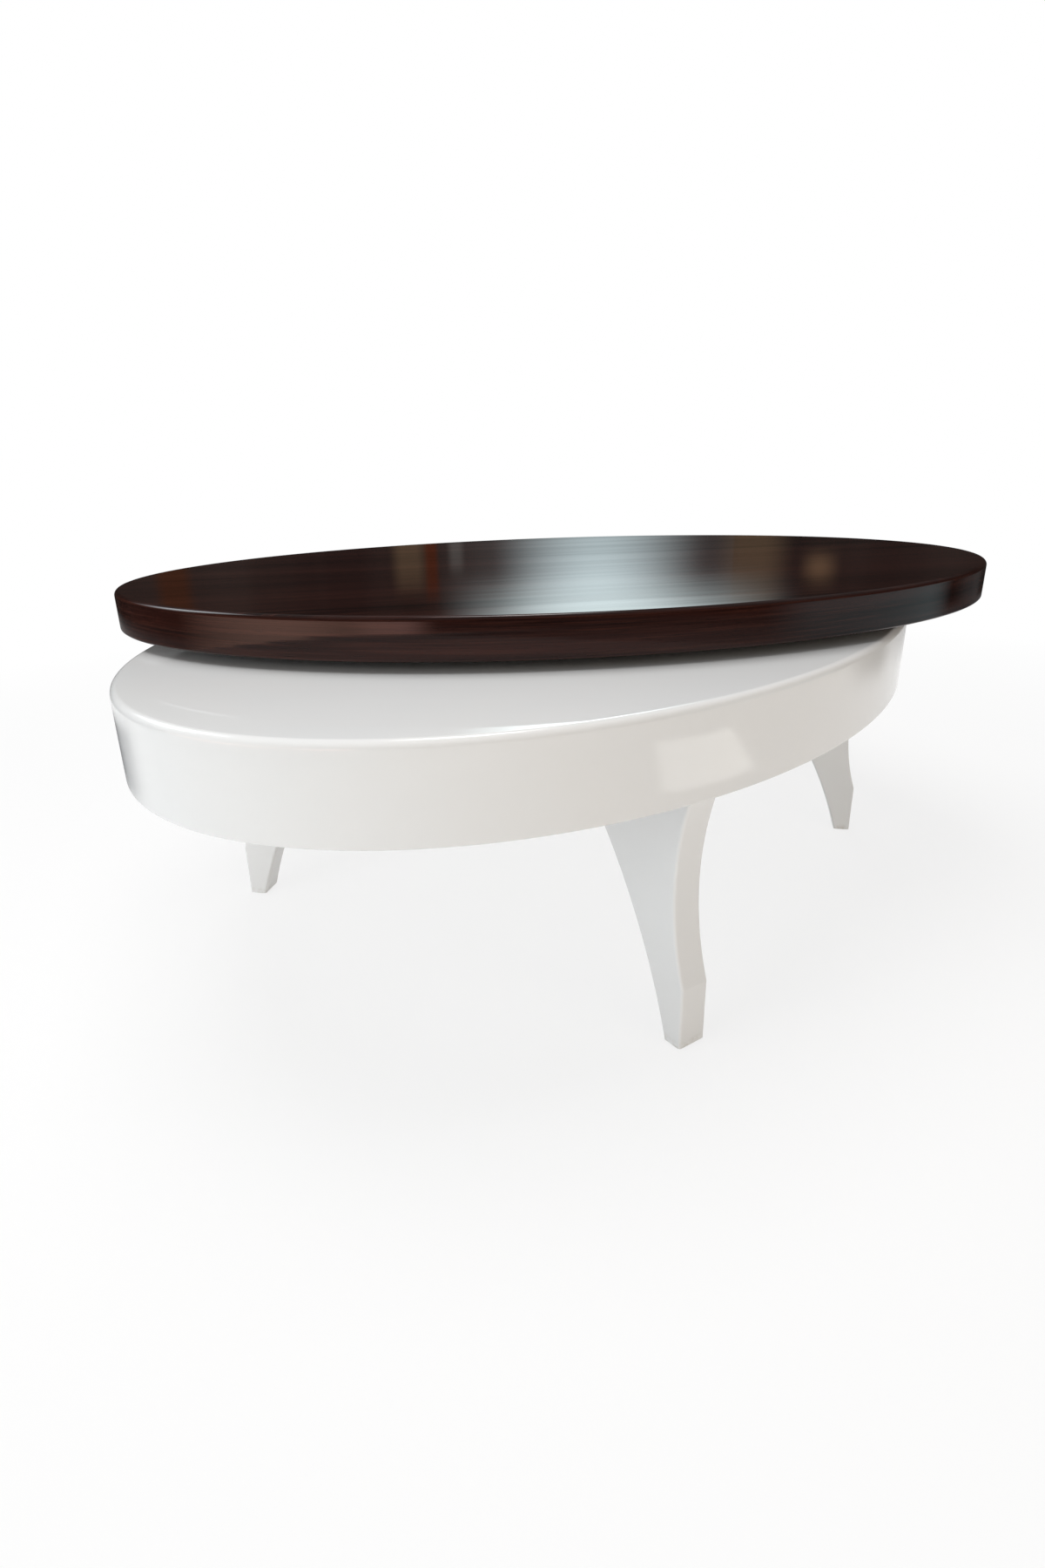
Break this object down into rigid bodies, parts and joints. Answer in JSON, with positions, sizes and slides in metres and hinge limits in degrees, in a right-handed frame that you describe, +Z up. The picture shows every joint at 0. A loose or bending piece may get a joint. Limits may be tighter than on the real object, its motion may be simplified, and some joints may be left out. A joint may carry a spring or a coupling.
{
  "type": "swivel coffee table",
  "caption": "Oval two-tier coffee table: a stained wood top turns flat on a ball bearing over a larger white oval base box on curved sabre legs.",
  "frame": {"origin": "on the floor under the swivel axis, midway between the feet", "axes": "+X along the long axis of the base oval, +Z up, front is -Y; the top rests turned 45 degrees clockwise from above"},
  "size_m": [1.2, 0.9108, 0.414],
  "materials": {
    "white_lacquer": "gloss white lacquer",
    "frame_timber": "raw board",
    "zinc_steel": "zinc plated",
    "bearing_aluminium": "satin",
    "ball_steel": "polished",
    "cage_nylon": "natural nylon",
    "glide_nylon": "natural nylon",
    "stained_wood": "gloss stained"
  },
  "bodies": {
    "base": {"base_top_panel": "white_lacquer", "base_bottom_panel": "white_lacquer", "apron_front": "white_lacquer", "apron_back": "white_lacquer", "apron_front_left": "white_lacquer", "apron_back_left": "white_lacquer", "apron_front_right": "white_lacquer", "apron_back_right": "white_lacquer", "leg_front_left": "white_lacquer", "leg_front_right": "white_lacquer", "leg_back_left": "white_lacquer", "leg_back_right": "white_lacquer", "long_rail_front": "frame_timber", "long_rail_back": "frame_timber", "cross_rail_left": "frame_timber", "cross_rail_right": "frame_timber", "swivel_pad": "frame_timber", "splice_block_left": "frame_timber", "splice_block_right": "frame_timber", "leg_block_front_left": "frame_timber", "leg_block_front_right": "frame_timber", "leg_block_back_left": "frame_timber", "leg_block_back_right": "frame_timber", "leg_plate_front_left": "zinc_steel", "leg_plate_front_right": "zinc_steel", "leg_plate_back_left": "zinc_steel", "leg_plate_back_right": "zinc_steel", "leg_plate_screws": "zinc_steel", "leg_top_screws": "zinc_steel", "bottom_panel_screws": "zinc_steel", "outer_ring_screws": "zinc_steel", "foot_glide_front_left": "glide_nylon", "foot_glide_front_right": "glide_nylon", "foot_glide_back_left": "glide_nylon", "foot_glide_back_right": "glide_nylon", "bearing_outer_ring": "bearing_aluminium"},
    "tabletop": {"tabletop_upper_board": "stained_wood", "tabletop_lower_board": "stained_wood", "tabletop_edge_front": "stained_wood", "tabletop_edge_back": "stained_wood", "tabletop_edge_front_left": "stained_wood", "tabletop_edge_back_left": "stained_wood", "tabletop_edge_front_right": "stained_wood", "tabletop_edge_back_right": "stained_wood", "tabletop_swivel_block": "frame_timber", "tabletop_rail_left": "frame_timber", "tabletop_rail_right": "frame_timber", "tabletop_rail_front": "frame_timber", "tabletop_rail_back": "frame_timber", "bearing_inner_ring": "bearing_aluminium", "inner_ring_screws": "zinc_steel"},
    "ball_cage": {"bearing_cage": "cage_nylon", "bearing_balls": "ball_steel"}
  },
  "joints": [
    {"name": "top_swivel", "type": "hinge", "parent": "base", "child": "tabletop", "pos_m": [0, 0, 0.3665], "axis": [0, 0, 1], "continuous": true},
    {"name": "cage_spin", "type": "hinge", "parent": "base", "child": "ball_cage", "pos_m": [0, 0, 0.3665], "axis": [0, 0, 1], "continuous": true}
  ],
  "couplings": [
    {"joint": "cage_spin", "follows": "top_swivel", "ratio": 0.5}
  ]
}
